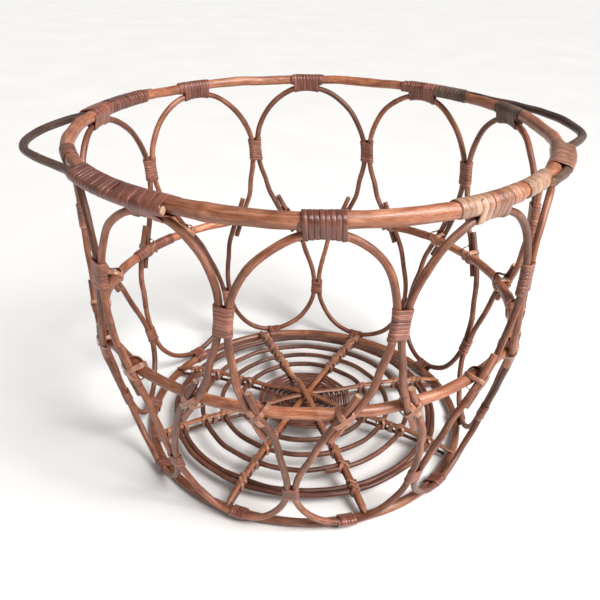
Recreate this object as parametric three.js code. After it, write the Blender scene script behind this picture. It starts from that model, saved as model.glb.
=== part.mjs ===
// Fruit basket of bent rattan: an open wall of looped rods lashed between a rim pole and a base ring,
// with a mid hoop inside, two side handles and a crowned floor of rings, spokes and a woven centre.
// Millimetres, +Z up, origin on the ground under the middle, handles towards -X and +X, +Y the back.
import * as THREE from 'three';

// Overall sizes: radii are centrelines, and HANDLE_OUT is how far the middle of each handle stands past
// the rim's centreline along X
const HEIGHT = 310;
const RIM_R = 200;
const BASE_R = 160;
const HANDLE_OUT = 29;

// Material sizes
const POLE_D = 10;
const HOOP_D = 9;
const HANDLE_D = 6.7;
const ROD_D = 5.7;
const FLOOR_D = 5;
const UNDER_D = 3.4;
const SLAT_W = 6;
const SLAT_T = 2.4;
const SLAT_CROWN_W = 4.32;
const SLAT_EDGE_T = 1.68;
const CANE_T = 1.2;

// Clearances: between rods, under a wrap, over and under the floor rings, at a cut, for the straight steps
// of a curve, and the spare share of width where slanting rods lie side by side
const GAP = 0.3;
const WRAP_GAP = 0.7;
const FLOOR_GAP = 0.4;
const CUT_GAP = 1;
const CURVE_SAG = 0.3;
const SLANT_SPARE = 0.02;

// Wall: LEAN is how many degrees each arch stands round from its even place, and the whole wall turns by
// TWIST degrees from foot to rim. Drops are from the rim's line and rises from the base ring's. SPLICE is
// how far the spliced rods run past the mid hoop, and HOOP_CUTS are the azimuths where it is cut.
const ARCHES = 10;
const LEAN = [2, 3, 0, 1, 3, 1, -1, -2, -1, 2];
const TWIST = -5.5;
const BELLY = 16.5;
const WAIST_DROP = 75.5;
const HOOP_RISE = 146;
const FOOT_RISE = 56;
const TOE_TILT = 35;
const SPLICE = 22;
const SPLICE_EASE = 26;
const HOOP_CUTS = [167, 206];
const RIM_WRAP = 28;
const WAIST_WRAP = 24;

// Floor: FLOOR_EDGE is from the inside of the base ring to the inside of the outermost floor ring, and
// RING_GAPS are the clear gaps from there inwards
const CROWN = 13;
const CROWN_POWER = 4;
const SPOKES = 4;
const SPOKE_TURN = 22.5;
const FLOOR_EDGE = 21;
const RING_GAPS = [0.3, 18.5, 15, 15];
const WOVEN_CLEAR = 17;
const WOVEN_HOLE = 5;
const WOVEN_SEAT = 0.7;
const WOVEN_BED = 1.5;
const RIBS = 5;
const RIB_DEPTH = 1;
const STACK_R = 46;
const CROSS_R = 10;
const SLAT_OVER = 2;
const UNDER_SHORT = 1;

// Side handles bow out as a power of the place between the rim and their peak
const BOW_POWER = 1.5;
const BOW_PLACES = 59;
const BOW_TRIES = 4;

// Fineness: steps along a line, sides of a section and segments of a full turn
const ROD_STEP = 12.5;
const TOP_STEPS = 8;
const LEG_STEPS = 6;
const TOE_STEPS = 6;
const HOOP_STEP = 6;
const HANDLE_STEPS = 28;
const WRAP_STEPS = 2;
const SPOKE_STEPS = 18;
const POLE_SIDES = 8;
const ROD_SIDES = 6;
const UNDER_SIDES = 5;
const BAND_POINTS = 12;
const RIM_SEGMENTS = 64;
const BASE_SEGMENTS = 48;
const RING_SEGMENTS = 26;
const RING_MORE_SEGMENTS = 3;
const WOVEN_SEGMENTS = 24;

const DEG = Math.PI / 180;
const TAU = Math.PI * 2;
const flatShare = Math.cos(Math.PI / POLE_SIDES);
const rimZ = HEIGHT - POLE_D / 2;
const baseZ = (POLE_D / 2) * flatShare;
const bundle = (POLE_D + ROD_D) / 2 + GAP;
const topZ = rimZ - bundle;
const toeR = BASE_R + bundle * Math.cos(TOE_TILT * DEG);
const toeZ = baseZ + bundle * Math.sin(TOE_TILT * DEG);
const waistZ = rimZ - WAIST_DROP;
const hoopZ = baseZ + HOOP_RISE;
const footZ = baseZ + FOOT_RISE;
const halfPair = (ROD_D + GAP) / 2;
const hugR = RIM_R + (POLE_D + HANDLE_D) / 2 + GAP;
const reachX = RIM_R + HANDLE_OUT;

const materials = {
  pole: new THREE.MeshStandardMaterial({ name: 'pole', color: 0xb8794f, roughness: 0.45 }),
  rod: new THREE.MeshStandardMaterial({ name: 'rod', color: 0xb27c5c, roughness: 0.5 }),
  floor: new THREE.MeshStandardMaterial({ name: 'floor', color: 0x7a4a38, roughness: 0.6 }),
  slat: new THREE.MeshStandardMaterial({ name: 'slat', color: 0xb0714e, roughness: 0.5 }),
  cane: new THREE.MeshStandardMaterial({ name: 'cane', color: 0x7a5044, roughness: 0.4 }),
};

const group = new THREE.Group();
group.name = 'fruit_basket';

// Azimuths run clockwise from the back (+Y), seen from above.
function polar(azimuth, radius, z) {
  return new THREE.Vector3(radius * Math.sin(azimuth), radius * Math.cos(azimuth), z);
}

function range(count, make) {
  return Array.from({ length: count }, (_, i) => make(i));
}

function smooth(x) {
  const t = Math.min(1, Math.max(0, x));
  return t * t * (3 - 2 * t);
}

function polygon(sides, diameter) {
  return range(sides, (i) => {
    const a = ((i + 0.5) / sides) * TAU;
    return new THREE.Vector2((diameter / 2) * Math.cos(a), (diameter / 2) * Math.sin(a));
  });
}

// A rod of a section swept along a smooth line through the points
function bend(points, section, steps) {
  const extrudePath = new THREE.CatmullRomCurve3(points);
  return new THREE.ExtrudeGeometry(new THREE.Shape(section), { steps, extrudePath });
}

// The same, in equal steps no longer than ROD_STEP
function bendRod(points, section) {
  const length = new THREE.CatmullRomCurve3(points).getLength();
  return bend(points, section, Math.ceil(length / ROD_STEP));
}

// A closed profile [radius, height] turned about the upright axis
function turn(profile, segments) {
  return new THREE.LatheGeometry([...profile, profile[0]], segments).rotateX(Math.PI / 2);
}

function hoop(radius, z, diameter, sides, segments) {
  const profile = polygon(sides, diameter).map((p) => p.add(new THREE.Vector2(radius, z)));
  return turn(profile, segments);
}

function add(name, geometry, material) {
  const mesh = new THREE.Mesh(geometry, material);
  mesh.name = name;
  group.add(mesh);
  return mesh;
}

// Wall surface the rods lie on
function wallR(z) {
  const u = Math.min(1, Math.max(0, (z - toeZ) / (topZ - toeZ)));
  return toeR + (RIM_R - toeR) * u + BELLY * Math.sin(Math.PI * u);
}

function archAzimuth(k) {
  const turns = Math.floor(k / ARCHES);
  const i = k - turns * ARCHES;
  return (k * TAU) / ARCHES + LEAN[i] * DEG;
}

function betweenAzimuth(k) {
  return (archAzimuth(k) + archAzimuth(k + 1)) / 2;
}

function twist(z) {
  return (TWIST * DEG * Math.max(0, z - footZ)) / (topZ - footZ);
}

const waistPair = halfPair / wallR(waistZ);
const footPair = halfPair / wallR(footZ);

// Angle between an arch's middle and its leg at a height, from waist to foot
function legAngle(z, span) {
  const u = (waistZ - z) / (waistZ - footZ);
  const wide = span - waistPair;
  return footPair + ((wide - footPair) * (1 + Math.cos(Math.PI * u))) / 2;
}

// Legs slant where they cross the hoop, so a pair there takes this much more room around the wall
const steepest = (Math.PI / ARCHES) * wallR(hoopZ) * (Math.PI / 2 / (waistZ - footZ));
const slantRoom = Math.hypot(1, steepest) + SLANT_SPARE;

// Sideways shift that lays the two spliced rods side by side behind the mid hoop
const archEnd = hoopZ - SPLICE;
const loopEnd = hoopZ + SPLICE;
const pairShift = (halfPair * slantRoom) / wallR(hoopZ);
const archShift = (z) => pairShift * smooth((loopEnd + SPLICE_EASE - z) / SPLICE_EASE);
const loopShift = (z) => -pairShift * smooth((z - archEnd + SPLICE_EASE) / SPLICE_EASE);

// One half of an arch from its top to its cut end below the hoop: [angle from the middle, height]
function archHalf(span) {
  const crown = range(TOP_STEPS, (i) => {
    const t = ((i / TOP_STEPS) * Math.PI) / 2;
    return [(span - waistPair) * Math.sin(t), waistZ + (topZ - waistZ) * Math.cos(t)];
  });
  const leg = range(LEG_STEPS + 2, (i) => {
    const z = waistZ + ((archEnd - waistZ) * i) / (LEG_STEPS + 1);
    return [legAngle(z, span) + archShift(z), z];
  });
  return [...crown, ...leg];
}

// One half of a lower loop from its cut end above the hoop to its lowest point
function loopHalf(span) {
  const leg = range(LEG_STEPS, (i) => {
    const z = loopEnd + ((footZ - loopEnd) * i) / LEG_STEPS;
    return [legAngle(z, span) + loopShift(z), z];
  });
  const toe = range(TOE_STEPS + 1, (i) => {
    const t = ((i / TOE_STEPS) * Math.PI) / 2;
    return [span - (span - footPair) * Math.cos(t), footZ - (footZ - toeZ) * Math.sin(t)];
  });
  return [...leg, ...toe];
}

function wallPoint(azimuth, z) {
  return polar(azimuth + twist(z), wallR(z), z);
}

const rodSection = polygon(ROD_SIDES, ROD_D);
for (let k = 0; k < ARCHES; k += 1) {
  const middle = archAzimuth(k);
  const left = archHalf(middle - betweenAzimuth(k - 1));
  const right = archHalf(betweenAzimuth(k) - middle);
  const path = [
    ...left.slice(1).reverse().map(([a, z]) => wallPoint(middle - a, z)),
    ...right.map(([a, z]) => wallPoint(middle + a, z)),
  ];
  add(`upper_arch_${k + 1}`, bendRod(path, rodSection), materials.rod);

  const next = archAzimuth(k + 1);
  const waist = betweenAzimuth(k);
  const down = loopHalf(waist - middle);
  const up = loopHalf(next - waist);
  const loop = [
    ...down.map(([a, z]) => wallPoint(middle + a, z)),
    ...up.slice(0, -1).reverse().map(([a, z]) => wallPoint(next - a, z)),
  ];
  add(`lower_loop_${k + 1}`, bendRod(loop, rodSection), materials.rod);
}

// Rim pole, base ring and the two lengths of the mid hoop
add('rim_pole', hoop(RIM_R, rimZ, POLE_D, POLE_SIDES, RIM_SEGMENTS), materials.pole);
add('base_ring', hoop(BASE_R, baseZ, POLE_D, POLE_SIDES, BASE_SEGMENTS), materials.pole);
const hoopR = wallR(hoopZ) - (HOOP_D + ROD_D) / 2 - GAP - CURVE_SAG;
function hoopLength(name, from, to) {
  const turned = to - from - (CUT_GAP / hoopR) / DEG;
  const steps = Math.ceil(turned / HOOP_STEP);
  const path = range(steps + 1, (i) => polar((from + (turned * i) / steps) * DEG, hoopR, hoopZ));
  add(name, bend(path, polygon(ROD_SIDES, HOOP_D), steps), materials.pole);
}
hoopLength('mid_hoop_front', HOOP_CUTS[0], HOOP_CUTS[1]);
hoopLength('mid_hoop_back', HOOP_CUTS[1], HOOP_CUTS[0] + 360);

// Side handles: rods that lie against the rim at both ends and bow out between two azimuths (degrees)
const handles = [
  { name: 'handle_left', from: 204, lift: 235, peak: 256, land: 277, to: 307 },
  { name: 'handle_right', from: 28, lift: 46, peak: 84, land: 99, to: 124 },
];

function bow(handle, degrees) {
  const side = degrees < handle.peak ? handle.lift : handle.land;
  const u = Math.min(1, (degrees - handle.peak) / (side - handle.peak));
  return (1 - u * u) ** BOW_POWER;
}

// How far a handle stands off the rim at its peak, for its line to reach HANDLE_OUT past the rim along X
function standOff(handle) {
  const width = handle.land - handle.lift;
  const spread = range(BOW_PLACES + 1, (i) => handle.lift + (width * i) / BOW_PLACES);
  let off = reachX - hugR;
  for (let tries = 0; tries < BOW_TRIES; tries += 1) {
    const reach = spread.map((d) => (hugR + off * bow(handle, d)) * Math.abs(Math.sin(d * DEG)));
    off += reachX - Math.max(...reach);
  }
  return off;
}

for (const handle of handles) {
  const off = standOff(handle);
  const path = range(2 * HANDLE_STEPS + 1, (i) => {
    const degrees = handle.from + ((handle.to - handle.from) * i) / (2 * HANDLE_STEPS);
    return polar(degrees * DEG, hugR + off * bow(handle, degrees), rimZ);
  });
  add(handle.name, bend(path, polygon(ROD_SIDES, HANDLE_D), HANDLE_STEPS), materials.pole);
}

// Closed band round a bundle of circles [x, y, radius]: its outer outline with the inner one as a hole
function band(circles) {
  const outline = (grow) => range(BAND_POINTS, (i) => {
    const a = ((i + 0.5) / BAND_POINTS) * TAU;
    const [c, s] = [Math.cos(a), Math.sin(a)];
    const far = circles.map(([x, y, r]) => x * c + y * s + r);
    const [x, y, r] = circles[far.indexOf(Math.max(...far))];
    return new THREE.Vector2(x + (r + grow) * c, y + (r + grow) * s);
  });
  const shape = new THREE.Shape(outline(WRAP_GAP + CANE_T));
  shape.holes.push(new THREE.Path(outline(WRAP_GAP)));
  return shape;
}

// Cane wound round the rim and the top of each arch, and round a handle that lies there. Along a level
// arc the section's x points down and its y points outward.
for (let k = 0; k < ARCHES; k += 1) {
  const middle = archAzimuth(k) + twist(topZ);
  const degrees = (((middle / DEG) % 360) + 360) % 360;
  const held = handles.filter((h) => degrees > h.from && degrees < h.to && bow(h, degrees) === 0);
  const half = RIM_WRAP / 2 / RIM_R;
  const narrow = Math.min(betweenAzimuth(k) - archAzimuth(k), archAzimuth(k) - betweenAzimuth(k - 1));
  const drop = (topZ - waistZ) * (1 - Math.sqrt(1 - (half / (narrow - waistPair)) ** 2));
  const circles = [
    [0, 0, POLE_D / 2],
    [bundle, 0, ROD_D / 2],
    [bundle + drop, wallR(topZ - drop) - RIM_R, ROD_D / 2],
    ...held.map(() => [0, hugR - RIM_R, HANDLE_D / 2]),
  ];
  const path = range(2 * WRAP_STEPS + 1, (i) => polar(middle + half * (i / WRAP_STEPS - 1), RIM_R, rimZ));
  const extrudePath = new THREE.CatmullRomCurve3(path);
  const geometry = new THREE.ExtrudeGeometry(band(circles), { steps: WRAP_STEPS, extrudePath });
  add(`rim_lashing_${k + 1}`, geometry, materials.cane);
}

// Cane wound round the touching legs of neighbouring arches, wide enough for their spread at its ends
for (let k = 0; k < ARCHES; k += 1) {
  const waist = betweenAzimuth(k) + twist(waistZ);
  const radius = wallR(waistZ);
  const halfWrap = WAIST_WRAP / 2;
  const higher = wallR(waistZ + halfWrap);
  const lower = wallR(waistZ - halfWrap);
  const span = betweenAzimuth(k) - archAzimuth(k);
  const above = (span - waistPair) * (1 - Math.sqrt(1 - (halfWrap / (topZ - waistZ)) ** 2));
  const below = span - waistPair - legAngle(waistZ - halfWrap, span);
  const turned = ((Math.abs(TWIST) * DEG) / (topZ - footZ)) * halfWrap;
  const spread = halfPair + radius * (Math.max(above, below) + turned);
  const circles = [
    [-spread, 0, ROD_D / 2],
    [spread, 0, ROD_D / 2],
  ];
  const geometry = new THREE.ExtrudeGeometry(band(circles), {
    depth: WAIST_WRAP,
    bevelEnabled: false,
  });
  geometry.translate(0, 0, -halfWrap);
  geometry.rotateX(-Math.atan2(higher - lower, WAIST_WRAP));
  geometry.translate(0, (higher + lower) / 2, waistZ);
  add(`waist_lashing_${k + 1}`, geometry, materials.cane).rotation.z = -waist;
}

// Crowned floor: rings at the named clear gaps inwards from the base ring
function floorZ(radius) {
  const edge = baseZ + POLE_D / 2 - FLOOR_D / 2;
  return edge + CROWN * (1 - (radius / BASE_R) ** CROWN_POWER);
}

const ringRadii = [];
let ringR = BASE_R - POLE_D / 2 - FLOOR_EDGE + FLOOR_D / 2;
ringRadii.push(ringR);
for (const gap of RING_GAPS) {
  ringR -= FLOOR_D + gap;
  ringRadii.unshift(ringR);
}
ringRadii.forEach((radius, i) => {
  const segments = RING_SEGMENTS + RING_MORE_SEGMENTS * i;
  add(`floor_ring_${i + 1}`, hoop(radius, floorZ(radius), FLOOR_D, ROD_SIDES, segments), materials.floor);
});

// Spokes run along X before they are turned; there a section's x points sideways and its y down.
const slatSection = [
  [-SLAT_W / 2, 0],
  [SLAT_W / 2, 0],
  [SLAT_CROWN_W / 2, -SLAT_EDGE_T],
  [0, -SLAT_T],
  [-SLAT_CROWN_W / 2, -SLAT_EDGE_T],
].map(([x, y]) => new THREE.Vector2(x, y));
const clear = FLOOR_D / 2 + FLOOR_GAP;
const crossing = (radius) => smooth((STACK_R - radius) / (STACK_R - CROSS_R));
for (let i = 0; i < SPOKES; i += 1) {
  const azimuth = (SPOKE_TURN + (180 / SPOKES) * i) * DEG;
  const line = (reach, height) => range(2 * SPOKE_STEPS + 1, (j) => {
    const r = reach * (j / SPOKE_STEPS - 1);
    return new THREE.Vector3(r, 0, height(Math.abs(r)));
  });
  const over = line(BASE_R + SLAT_OVER, (r) => floorZ(r) + clear + i * (SLAT_T + GAP) * crossing(r));
  const under = line(BASE_R - POLE_D / 2 - UNDER_SHORT, (r) => {
    return floorZ(r) - clear - UNDER_D / 2 - i * (UNDER_D + GAP) * crossing(r);
  });
  const slat = add(`floor_slat_${i + 1}`, bend(over, slatSection, SPOKE_STEPS), materials.slat);
  const rodShape = bend(under, polygon(UNDER_SIDES, UNDER_D), SPOKE_STEPS);
  const rod = add(`floor_rod_${i + 1}`, rodShape, materials.floor);
  slat.rotation.z = Math.PI / 2 - azimuth;
  rod.rotation.z = Math.PI / 2 - azimuth;
}

// Woven centre: a disc of close turns of cane, ribbed on top, held between the slats and the rods beneath
const wovenR = ringRadii[0] - WOVEN_CLEAR;
const ribW = (wovenR - WOVEN_HOLE) / RIBS;
const crest = clear - WOVEN_SEAT;
const under = WOVEN_BED - clear;
const profile = [];
for (let i = 0; i <= RIBS; i += 1) {
  profile.push(new THREE.Vector2(wovenR - ribW * i, crest - RIB_DEPTH));
  if (i < RIBS) {
    profile.push(new THREE.Vector2(wovenR - ribW * (i + 0.5), crest));
  }
}
profile.push(new THREE.Vector2(WOVEN_HOLE, under));
profile.push(new THREE.Vector2(wovenR, under));
add('woven_centre', turn(profile, WOVEN_SEGMENTS).translate(0, 0, floorZ(0)), materials.cane);

export default group;
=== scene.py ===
"""Fruit basket of bent rattan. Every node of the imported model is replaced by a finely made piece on
the same line: rods with joints, grain and cut ends, and lashings of real turns of flat cane."""
import math

import bpy
import numpy as np
from mathutils import Matrix, Vector


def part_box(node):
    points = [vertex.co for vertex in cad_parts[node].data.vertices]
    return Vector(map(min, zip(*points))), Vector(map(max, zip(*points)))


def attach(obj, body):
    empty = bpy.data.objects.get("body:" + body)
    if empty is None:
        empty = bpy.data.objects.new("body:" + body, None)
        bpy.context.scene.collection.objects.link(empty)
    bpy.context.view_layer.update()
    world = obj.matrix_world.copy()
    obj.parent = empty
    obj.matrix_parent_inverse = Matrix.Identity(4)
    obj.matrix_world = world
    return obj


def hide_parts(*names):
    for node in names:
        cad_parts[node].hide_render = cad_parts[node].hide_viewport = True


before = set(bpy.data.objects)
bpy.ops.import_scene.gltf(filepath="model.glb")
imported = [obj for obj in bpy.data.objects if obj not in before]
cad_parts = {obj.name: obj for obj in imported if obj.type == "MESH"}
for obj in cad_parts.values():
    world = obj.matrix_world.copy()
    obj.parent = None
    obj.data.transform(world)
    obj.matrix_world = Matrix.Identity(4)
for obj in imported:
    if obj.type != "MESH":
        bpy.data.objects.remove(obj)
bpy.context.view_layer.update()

MM = 0.001
TAU = 2 * math.pi
DEG = math.pi / 180
random = np.random.default_rng(11)

# ---------------------------------------------------------------- sizes in metres, angles in degrees
# The rings, the woven centre and the handles' reach are measured in the frame. Rods follow lines worked
# out as in the CAD model, so that each piece lies where its node does.


def middle_of_ring(node):
    """Centreline radius and height of a ring lying level round the Z axis."""
    low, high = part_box(node)
    half = (high[2] - low[2]) / 2
    return high[0] - half, (high[2] + low[2]) / 2


rim_r, rim_z = middle_of_ring("rim_pole")
base_r, base_z = middle_of_ring("base_ring")

POLE_R = 5.0 * MM
HOOP_R = 4.5 * MM
HANDLE_R = 3.35 * MM
ROD_R = 2.85 * MM
RING_R = 2.5 * MM
UNDER_R = 1.7 * MM
SLAT_W = 6.0 * MM
SLAT_T = 2.4 * MM
GAP = 0.3 * MM
FLOOR_GAP = 0.4 * MM
CANE_W = 3.1 * MM
CANE_T = 0.75 * MM
RIM_MEAN_R = 5.15 * MM
RIM_TAPER = 0.7 * MM
BASE_SHARE = 0.88

ARCHES = 10
LEAN = [2, 3, 0, 1, 3, 1, -1, -2, -1, 2]
TWIST = -5.5
BELLY = 16.5 * MM
WAIST_DROP = 75.5 * MM
HOOP_RISE = 146 * MM
FOOT_RISE = 56 * MM
TOE_TILT = 35
SPLICE = 22 * MM
SPLICE_EASE = 26 * MM
HOOP_CUTS = (167, 206)
CUT_GAP = 1.0 * MM
SLANT_SPARE = 0.02
HALF_STEPS = 60

bundle = POLE_R + ROD_R + GAP
top_z = rim_z - bundle
toe_r = base_r + bundle * math.cos(TOE_TILT * DEG)
toe_z = base_z + bundle * math.sin(TOE_TILT * DEG)
waist_z = rim_z - WAIST_DROP
hoop_z = base_z + HOOP_RISE
foot_z = base_z + FOOT_RISE
half_pair = ROD_R + GAP / 2
hug_r = rim_r + POLE_R + HANDLE_R + GAP


def polar(azimuth, radius, z):
    """Point at an azimuth measured clockwise from the back (+Y), seen from above."""
    azimuth, radius, z = np.broadcast_arrays(azimuth, radius, z)
    return np.stack([radius * np.sin(azimuth), radius * np.cos(azimuth), z], axis=-1)


def azimuth_of(points):
    return np.arctan2(points[:, 0], points[:, 1])


def rim_thick(azimuth):
    """The rim pole's radius: it was bent from a pole that is thickest where it lies at the front."""
    return RIM_MEAN_R - RIM_TAPER * np.cos(azimuth)


def smooth(x):
    x = np.clip(x, 0, 1)
    return x * x * (3 - 2 * x)


def wall_r(z):
    u = np.clip((z - toe_z) / (top_z - toe_z), 0, 1)
    return toe_r + (rim_r - toe_r) * u + BELLY * np.sin(math.pi * u)


def twist(z):
    return TWIST * DEG * np.maximum(0, z - foot_z) / (top_z - foot_z)


def wall_point(azimuth, z):
    return polar(azimuth + twist(z), wall_r(z), z)


def arch_azimuth(k):
    return k * TAU / ARCHES + LEAN[k % ARCHES] * DEG


def between_azimuth(k):
    return (arch_azimuth(k) + arch_azimuth(k + 1)) / 2


waist_pair = half_pair / wall_r(waist_z)
foot_pair = half_pair / wall_r(foot_z)
hoop_r = wall_r(hoop_z) - HOOP_R - ROD_R - 2 * GAP
steepest = (math.pi / ARCHES) * wall_r(hoop_z) * (math.pi / 2 / (waist_z - foot_z))
pair_shift = half_pair * (math.hypot(1, steepest) + SLANT_SPARE) / wall_r(hoop_z)
arch_end = hoop_z - SPLICE
loop_end = hoop_z + SPLICE


def leg_angle(z, span):
    """Angle between an arch's middle and its leg, from waist down to foot."""
    u = (waist_z - z) / (waist_z - foot_z)
    return foot_pair + (span - waist_pair - foot_pair) * (1 + np.cos(math.pi * u)) / 2


def arch_half(span):
    """Angle from the middle and height, from an arch's top to its cut end below the hoop."""
    t = np.linspace(0, math.pi / 2, HALF_STEPS, endpoint=False)
    z = np.linspace(waist_z, arch_end, HALF_STEPS)
    beside = pair_shift * smooth((loop_end + SPLICE_EASE - z) / SPLICE_EASE)
    crown = np.stack([(span - waist_pair) * np.sin(t), waist_z + (top_z - waist_z) * np.cos(t)], -1)
    leg = np.stack([leg_angle(z, span) + beside, z], -1)
    return np.concatenate([crown, leg])


def loop_half(span):
    """Angle from the arch's middle and height, from a loop's cut end down to its lowest point."""
    z = np.linspace(loop_end, foot_z, HALF_STEPS, endpoint=False)
    beside = pair_shift * smooth((z - arch_end + SPLICE_EASE) / SPLICE_EASE)
    t = np.linspace(0, math.pi / 2, HALF_STEPS)
    leg = np.stack([leg_angle(z, span) - beside, z], -1)
    swing = (span - foot_pair) * np.cos(t)
    toe = np.stack([span - swing, foot_z - (foot_z - toe_z) * np.sin(t)], -1)
    return np.concatenate([leg, toe])


def crown_drop(angle, span):
    """How far an arch has dropped from its top at an angle from its middle."""
    u = np.clip(angle / (span - waist_pair), -1, 1)
    return (top_z - waist_z) * (1 - np.sqrt(1 - u * u))


def toe_lift(angle, span):
    """How far a lower loop has risen from its lowest point at an angle from it."""
    u = np.clip(angle / (span - foot_pair), -1, 1)
    return (foot_z - toe_z) * (1 - np.sqrt(1 - u * u))


# ---------------------------------------------------------------- materials


def build_material(name, build):
    material = bpy.data.materials.new(name)
    material.use_nodes = True
    tree = material.node_tree
    tree.nodes.clear()
    build(tree)
    return material


def node(tree, kind, **values):
    """A shader node with attributes set by keyword; 'in_' keywords set its sockets."""
    made = tree.nodes.new(kind)
    for key, value in values.items():
        if key.startswith("in_"):
            made.inputs[key[3:].replace("_", " ")].default_value = value
        else:
            setattr(made, key, value)
    return made


def blend(tree, mode, factor, first, second):
    """Mixes two colours; each of factor, first and second is a socket or a value."""
    mix = node(tree, "ShaderNodeMix", data_type="RGBA", blend_type=mode)
    for socket, value in zip((mix.inputs[0], mix.inputs[6], mix.inputs[7]), (factor, first, second)):
        if isinstance(value, bpy.types.NodeSocket):
            tree.links.new(value, socket)
        else:
            socket.default_value = value
    return mix.outputs[2]


def calc(tree, operation, *terms):
    math_node = node(tree, "ShaderNodeMath", operation=operation)
    for socket, value in zip(math_node.inputs, terms):
        if isinstance(value, bpy.types.NodeSocket):
            tree.links.new(value, socket)
        else:
            socket.default_value = value
    return math_node.outputs[0]


def fibre_noise(tree, grain, stretch, detail=4.0, roughness=0.6):
    """Noise drawn out along the rod; stretch is features per metre along and across."""
    mapping = node(tree, "ShaderNodeMapping", in_Scale=(stretch[0], stretch[1], stretch[1]))
    noise = node(tree, "ShaderNodeTexNoise", in_Scale=1.0, in_Detail=detail, in_Roughness=roughness)
    tree.links.new(grain, mapping.inputs["Vector"])
    tree.links.new(mapping.outputs[0], noise.inputs["Vector"])
    return noise.outputs["Fac"]


def ramp(tree, factor, *stops):
    made = node(tree, "ShaderNodeValToRGB")
    elements = made.color_ramp.elements
    while len(elements) < len(stops):
        elements.new(0.5)
    for element, (place, colour) in zip(elements, stops):
        element.position = place
        element.color = (*colour, 1)
    tree.links.new(factor, made.inputs[0])
    return made.outputs[0]


# Noise on a skin, as features per metre along and across the rod
STREAKS = (30, 3200)
BLOTCHES = (55, 170)
PATCHES = (5, 20)
SPECKS = (700, 1500)
# Places and colours that the skin is multiplied by: worn patches, each piece's tone, dark lines and specks
WORN_STOPS = ((0.36, (0.42, 0.39, 0.38)), (0.64, (1.3, 1.3, 1.3)))
TONE_STOPS = ((0.0, (0.5, 0.46, 0.45)), (0.5, (1.0, 1.0, 1.0)), (1.0, (1.5, 1.62, 1.7)))
LINE_STOPS = ((0.38, (0.7, 0.66, 0.62)), (0.5, (1.0, 1.0, 1.0)))
SPECK_STOPS = ((0.66, (1.0, 1.0, 1.0)), (0.72, (0.42, 0.33, 0.28)))
SKIN_PLACES = (0.38, 0.5, 0.62)
FIBRE_SHARE = 0.45
BLOTCH_SHARE = 0.55
LINE_SHARE = 0.85
SPECK_SHARE = 0.7
JOINT_SHARE = 0.75
JOINT_SHADE = 0.35
STREAK_HEIGHT = 0.5
FIBRE_HEIGHT = 0.8


def rattan(dark, middle, light, gloss=0.42, coat=0.35, stain=0.5, fibres=(14, 1100)):
    """Rattan skin or cane: fibres along the grain, blotches, dark joints, specks and worn patches."""

    def build(tree):
        link = tree.links.new
        grain = node(tree, "ShaderNodeAttribute", attribute_name="grain").outputs["Vector"]
        tone = node(tree, "ShaderNodeAttribute", attribute_name="tone").outputs["Fac"]
        joint = node(tree, "ShaderNodeAttribute", attribute_name="joint").outputs["Fac"]
        fibre = fibre_noise(tree, grain, fibres, 6.0, 0.65)
        streak = fibre_noise(tree, grain, STREAKS, 2.0, 0.5)
        blotch = fibre_noise(tree, grain, BLOTCHES, 5.0, 0.65)
        patch = fibre_noise(tree, grain, PATCHES, 2.0, 0.5)
        speck = fibre_noise(tree, grain, SPECKS, 2.0, 0.5)

        fibrous = calc(tree, "MULTIPLY", fibre, FIBRE_SHARE)
        mixed = calc(tree, "ADD", fibrous, calc(tree, "MULTIPLY", blotch, BLOTCH_SHARE))
        colour = ramp(tree, mixed, *zip(SKIN_PLACES, (dark, middle, light)))
        worn = ramp(tree, patch, *WORN_STOPS)
        colour = blend(tree, "MULTIPLY", stain, colour, worn)
        toned = ramp(tree, tone, *TONE_STOPS)
        colour = blend(tree, "MULTIPLY", 1.0, colour, toned)
        lines = ramp(tree, streak, *LINE_STOPS)
        colour = blend(tree, "MULTIPLY", LINE_SHARE, colour, lines)
        spots = ramp(tree, speck, *SPECK_STOPS)
        colour = blend(tree, "MULTIPLY", SPECK_SHARE, colour, spots)
        ringed = calc(tree, "MULTIPLY", joint, JOINT_SHARE)
        colour = blend(tree, "MIX", ringed, colour, (*(part * JOINT_SHADE for part in dark), 1))

        rough = node(tree, "ShaderNodeMapRange", in_From_Min=0.35, in_From_Max=0.65)
        rough.inputs["To Min"].default_value = gloss - 0.1
        rough.inputs["To Max"].default_value = gloss + 0.16
        link(blotch, rough.inputs["Value"])

        raised = calc(tree, "MULTIPLY", streak, STREAK_HEIGHT)
        height = calc(tree, "ADD", raised, calc(tree, "MULTIPLY", fibre, FIBRE_HEIGHT))
        bump = node(tree, "ShaderNodeBump", in_Strength=0.55, in_Distance=0.0004)
        link(height, bump.inputs["Height"])

        skin_shader = node(tree, "ShaderNodeBsdfPrincipled", in_Coat_Weight=coat, in_Coat_Roughness=0.24)
        skin_shader.inputs["Specular IOR Level"].default_value = 0.45
        skin_shader.inputs["Subsurface Weight"].default_value = 0.04
        skin_shader.inputs["Subsurface Radius"].default_value = (0.002, 0.001, 0.0006)
        link(colour, skin_shader.inputs["Base Color"])
        link(rough.outputs[0], skin_shader.inputs["Roughness"])
        link(bump.outputs[0], skin_shader.inputs["Normal"])
        link(bump.outputs[0], skin_shader.inputs["Coat Normal"])
        output = node(tree, "ShaderNodeOutputMaterial")
        link(skin_shader.outputs[0], output.inputs[0])

    return build


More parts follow.
